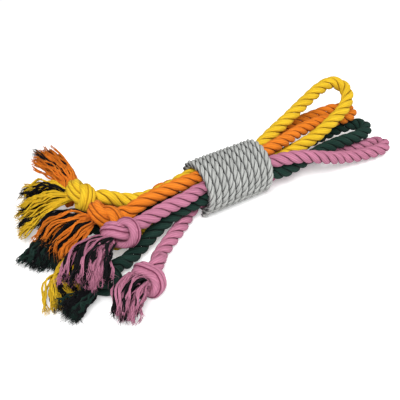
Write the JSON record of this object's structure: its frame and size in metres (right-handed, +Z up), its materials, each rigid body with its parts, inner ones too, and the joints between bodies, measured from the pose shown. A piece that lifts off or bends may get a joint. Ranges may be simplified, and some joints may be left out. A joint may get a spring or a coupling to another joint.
{
  "type": "rope tug toy",
  "caption": "Bundle of doubled twisted cotton ropes held by a wound cord binding, with pull loops at one end and overhand knots with frayed tassels at the other, for dogs to tug and chew.",
  "frame": {"origin": "flat underside of the binding, below the middle of its length, on the floor that the toy lies on", "axes": "+X along the bundle from the knots towards the pull loops, +Z up from the floor, +Y to the back of the view in which the knots are on the left"},
  "size_m": [0.3622, 0.2056, 0.0656],
  "materials": {
    "yellow_cotton": "matte twisted cotton",
    "orange_cotton": "matte twisted cotton",
    "pink_cotton": "matte twisted cotton",
    "green_cotton": "matte twisted cotton",
    "binding_cotton": "matte twisted cotton cord"
  },
  "bodies": {
    "bound_bundle": {"binding_cord": "binding_cotton", "yellow_upper_bound": "yellow_cotton", "yellow_lower_bound": "yellow_cotton", "orange_upper_bound": "orange_cotton", "orange_back_bound": "orange_cotton", "pink_upper_bound": "pink_cotton", "pink_front_bound": "pink_cotton", "green_front_bound": "green_cotton", "green_back_bound": "green_cotton"},
    "yellow_upper_end": {"yellow_upper_leg": "yellow_cotton", "yellow_upper_knot": "yellow_cotton", "yellow_upper_tassel": "yellow_cotton"},
    "yellow_lower_end": {"yellow_lower_leg": "yellow_cotton", "yellow_lower_knot": "yellow_cotton", "yellow_lower_tassel": "yellow_cotton"},
    "orange_upper_end": {"orange_upper_leg": "orange_cotton", "orange_upper_knot": "orange_cotton", "orange_upper_tassel": "orange_cotton"},
    "orange_back_end": {"orange_back_leg": "orange_cotton", "orange_back_knot": "orange_cotton", "orange_back_tassel": "orange_cotton"},
    "pink_upper_end": {"pink_upper_leg": "pink_cotton", "pink_upper_knot": "pink_cotton", "pink_upper_tassel": "pink_cotton"},
    "pink_front_end": {"pink_front_leg": "pink_cotton", "pink_front_knot": "pink_cotton", "pink_front_tassel": "pink_cotton"},
    "green_front_end": {"green_front_leg": "green_cotton", "green_front_knot": "green_cotton", "green_front_tassel": "green_cotton"},
    "green_back_end": {"green_back_leg": "green_cotton", "green_back_knot": "green_cotton", "green_back_tassel": "green_cotton"},
    "upper_loops": {"yellow_loop": "yellow_cotton", "orange_loop": "orange_cotton"},
    "lower_loops": {"pink_loop": "pink_cotton", "green_loop": "green_cotton"}
  },
  "joints": [
    {"name": "yellow_upper_lift", "type": "hinge", "parent": "bound_bundle", "child": "yellow_upper_end", "pos_m": [-0.05, 0.009, 0.0276], "axis": [0, 1, 0], "range_deg": [0, 30]},
    {"name": "orange_upper_lift", "type": "hinge", "parent": "bound_bundle", "child": "orange_upper_end", "pos_m": [-0.05, -0.0032, 0.0362], "axis": [0, 1, 0], "range_deg": [0, 30]},
    {"name": "yellow_lower_lift", "type": "hinge", "parent": "bound_bundle", "child": "yellow_lower_end", "pos_m": [-0.05, 0.0004, 0.0166], "axis": [0, 1, 0], "range_deg": [0, 7.5]},
    {"name": "pink_upper_lift", "type": "hinge", "parent": "bound_bundle", "child": "pink_upper_end", "pos_m": [-0.05, -0.0156, 0.0308], "axis": [0, 1, 0], "range_deg": [0, 30]},
    {"name": "pink_front_swing", "type": "hinge", "parent": "bound_bundle", "child": "pink_front_end", "pos_m": [-0.045, -0.007, 0.0066], "axis": [0, 0, 1], "range_deg": [0, 18]},
    {"name": "green_front_swing", "type": "hinge", "parent": "bound_bundle", "child": "green_front_end", "pos_m": [-0.05, -0.012, 0.0185], "axis": [0, 0, 1], "range_deg": [0, 9]},
    {"name": "orange_back_swing", "type": "hinge", "parent": "bound_bundle", "child": "orange_back_end", "pos_m": [-0.05, 0.022, 0.0184], "axis": [0, 0, -1], "range_deg": [0, 15]},
    {"name": "green_back_swing", "type": "hinge", "parent": "bound_bundle", "child": "green_back_end", "pos_m": [-0.05, 0.0114, 0.0108], "axis": [0, 0, -1], "range_deg": [0, 6]},
    {"name": "upper_loops_lift", "type": "hinge", "parent": "bound_bundle", "child": "upper_loops", "pos_m": [0.05, 0, 0.044], "axis": [0, -1, 0], "range_deg": [0, 25]},
    {"name": "lower_loops_swing", "type": "hinge", "parent": "bound_bundle", "child": "lower_loops", "pos_m": [0.05, -0.022, 0], "axis": [0, 0, -1], "range_deg": [0, 20]}
  ],
  "couplings": [
    {"joint": "yellow_lower_lift", "follows": "orange_upper_lift", "ratio": 0.25},
    {"joint": "green_front_swing", "follows": "pink_front_swing", "ratio": 0.5},
    {"joint": "green_back_swing", "follows": "orange_back_swing", "ratio": 0.4}
  ]
}
